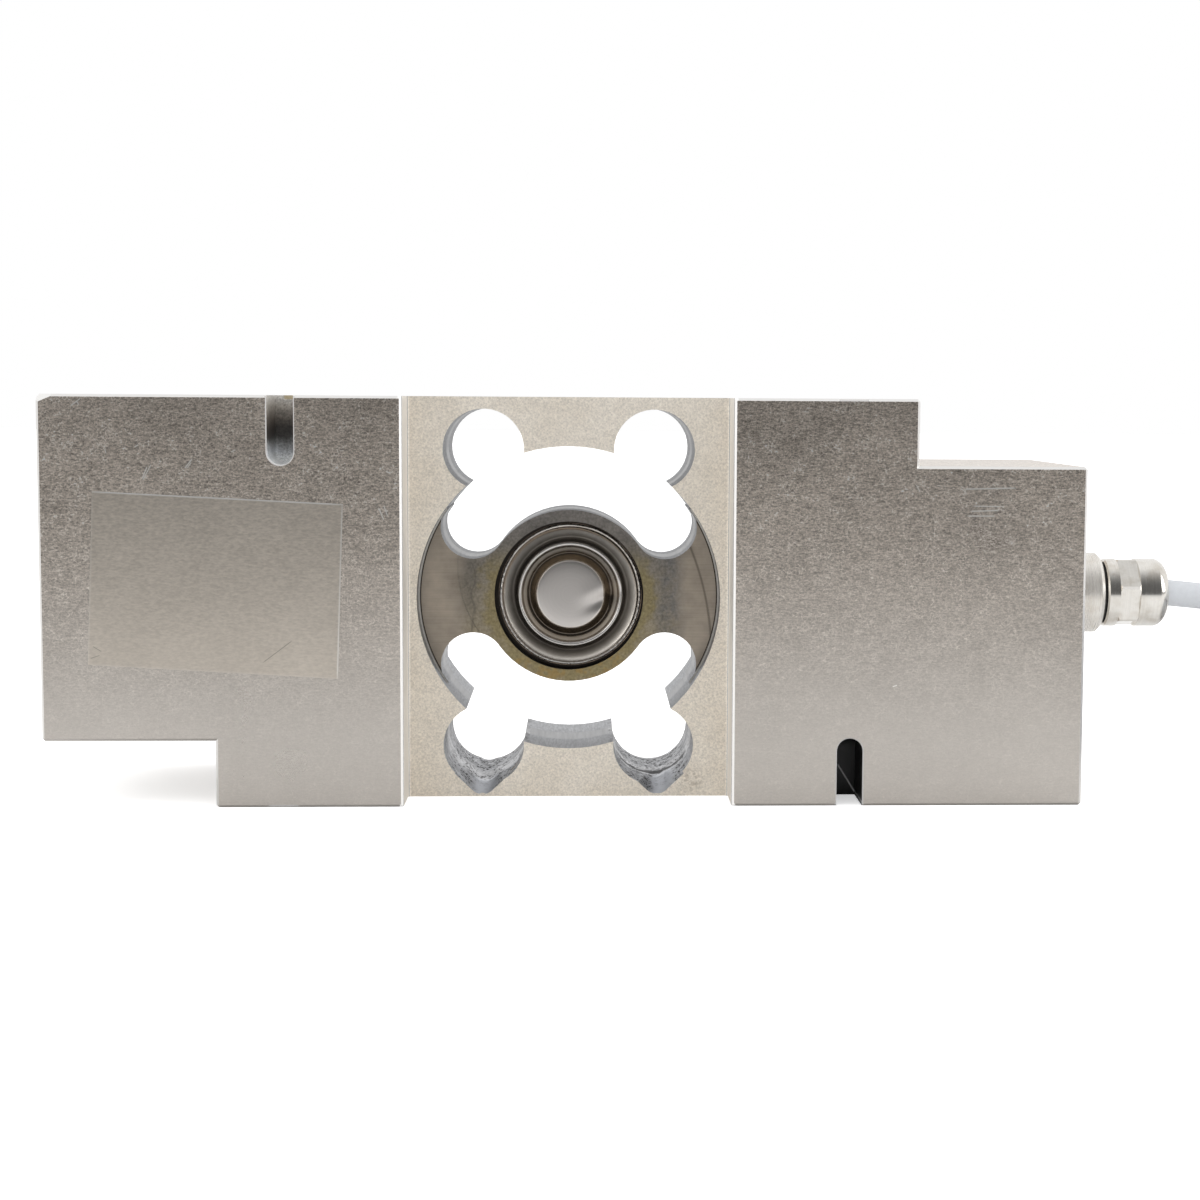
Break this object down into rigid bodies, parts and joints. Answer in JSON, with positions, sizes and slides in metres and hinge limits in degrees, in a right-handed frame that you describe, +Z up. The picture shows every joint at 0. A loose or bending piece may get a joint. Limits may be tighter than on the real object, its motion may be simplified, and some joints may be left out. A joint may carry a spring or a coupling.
{
  "type": "single point load cell",
  "caption": "Single point load cell: an aluminium monoblock with a bored middle band, a sealed measuring web, a cable gland and a coiled cable.",
  "frame": {"origin": "centre of the underside of the block", "axes": "+X along the block towards the cable gland, -Y the front with the bare foil patch, +Z up, the direction opposite to the load"},
  "size_m": [0.4013, 0.0986, 0.0945],
  "materials": {
    "milled_aluminium": "brushed faces, bead-blasted middle band",
    "diaphragm_metal": "heat-tinted from welding",
    "gauge_film": "smooth amber film",
    "terminal_laminate": "smooth",
    "lead_insulation": "smooth",
    "carrier_plastic": "smooth",
    "board_laminate": "solder-resist",
    "resistor_ceramic": "smooth",
    "nickel_plate": "bright nickel plate",
    "seal_rubber": "satin",
    "claw_nylon": "satin",
    "cable_sheath": "satin grey",
    "core_insulation": "smooth",
    "ferrule_tin": "tinned"
  },
  "bodies": {
    "root": {"spring_body": "milled_aluminium", "front_diaphragm": "diaphragm_metal", "rear_diaphragm": "diaphragm_metal", "front_gauge": "gauge_film", "rear_gauge": "gauge_film", "front_terminals": "terminal_laminate", "rear_terminals": "terminal_laminate", "front_leads": "lead_insulation", "rear_leads": "lead_insulation", "board_carrier": "carrier_plastic", "balance_board": "board_laminate", "balance_resistors": "resistor_ceramic", "gland_adapter": "nickel_plate", "adapter_seal": "seal_rubber", "gland_body": "nickel_plate", "gland_seal": "seal_rubber", "clamping_claw": "claw_nylon", "dome_nut": "nickel_plate", "cable_entry": "cable_sheath", "inner_cores": "core_insulation", "cable": "cable_sheath", "cable_coil": "cable_sheath", "cable_cores": "core_insulation", "core_ferrules": "ferrule_tin"}
  },
  "joints": []
}
